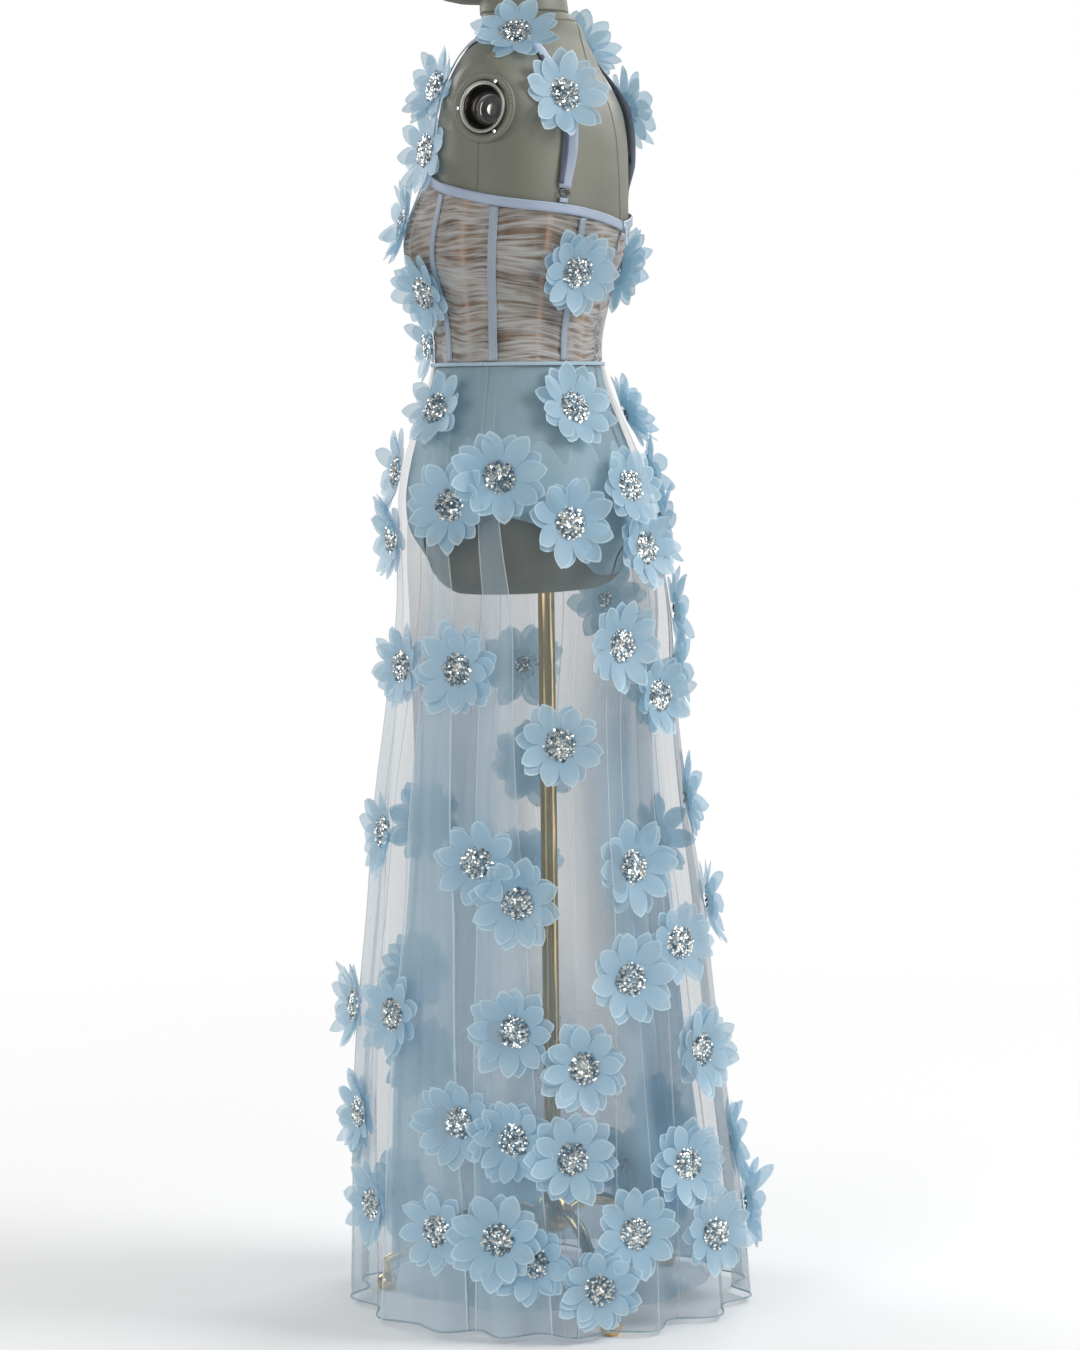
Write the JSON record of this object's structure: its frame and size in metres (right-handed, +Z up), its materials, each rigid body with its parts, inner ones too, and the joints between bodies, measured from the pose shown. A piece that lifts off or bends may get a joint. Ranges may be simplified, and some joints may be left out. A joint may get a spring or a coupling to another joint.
{
  "type": "tulle gown on dress form",
  "caption": "Sheer floor-length tulle gown with boned bodice, satin straps and raised organza flowers, worn by a limbless dress form on a brass tripod stand.",
  "frame": {"origin": "on the floor at the bottom centre of the whole object, on the axis of the stand's pole", "axes": "+Z up, the front of the gown and form faces -Y, the form's left side is +X"},
  "size_m": [0.4805, 0.4507, 1.598],
  "materials": {
    "tulle": "sheer pale blue tulle with organza flowers",
    "ruched_mesh": "blue tulle ruched over nude mesh",
    "satin": "satin",
    "lining": "matte opaque knit",
    "form_cover": "smooth grey cover",
    "chrome": "polished",
    "brass": "polished",
    "dark_metal": "dark plated"
  },
  "bodies": {
    "gown_on_form": {"arm_plate_left": "form_cover", "arm_plate_right": "form_cover", "arm_socket_left": "chrome", "arm_socket_right": "chrome", "bodice_back_left": "ruched_mesh", "bodice_back_right": "ruched_mesh", "bodice_centre_front": "ruched_mesh", "bodice_front_left": "ruched_mesh", "bodice_front_right": "ruched_mesh", "bodice_side_back_left": "ruched_mesh", "bodice_side_back_right": "ruched_mesh", "bodice_side_front_left": "ruched_mesh", "bodice_side_front_right": "ruched_mesh", "bone_channel_1_left": "satin", "bone_channel_1_right": "satin", "bone_channel_2_left": "satin", "bone_channel_2_right": "satin", "bone_channel_3_left": "satin", "bone_channel_3_right": "satin", "bone_channel_4_left": "satin", "bone_channel_4_right": "satin", "brief_back_left": "lining", "brief_back_right": "lining", "brief_front": "lining", "form_head": "form_cover", "form_torso": "form_cover", "skirt_back_left": "tulle", "skirt_back_right": "tulle", "skirt_front_left": "tulle", "skirt_front_right": "tulle", "stand_foot_1": "brass", "stand_foot_2": "brass", "stand_foot_3": "brass", "stand_hub": "brass", "stand_leg_1": "brass", "stand_leg_2": "brass", "stand_leg_3": "brass", "stand_pole": "brass", "strap_back_left": "satin", "strap_back_right": "satin", "strap_front_left": "satin", "strap_front_right": "satin", "strap_ring_left": "dark_metal", "strap_ring_right": "dark_metal", "strap_slider_left": "dark_metal", "strap_slider_right": "dark_metal", "strap_tab_left": "satin", "strap_tab_right": "satin", "top_binding": "satin", "zip_coil": "satin", "zip_slider": "satin"},
    "zip_pull": {"zip_pull": "satin"}
  },
  "joints": [
    {"name": "zip_pull_swing", "type": "hinge", "parent": "gown_on_form", "child": "zip_pull", "pos_m": [0, 0.0936, 1.145], "axis": [1, 0, 0], "range_deg": [0, 160]}
  ]
}
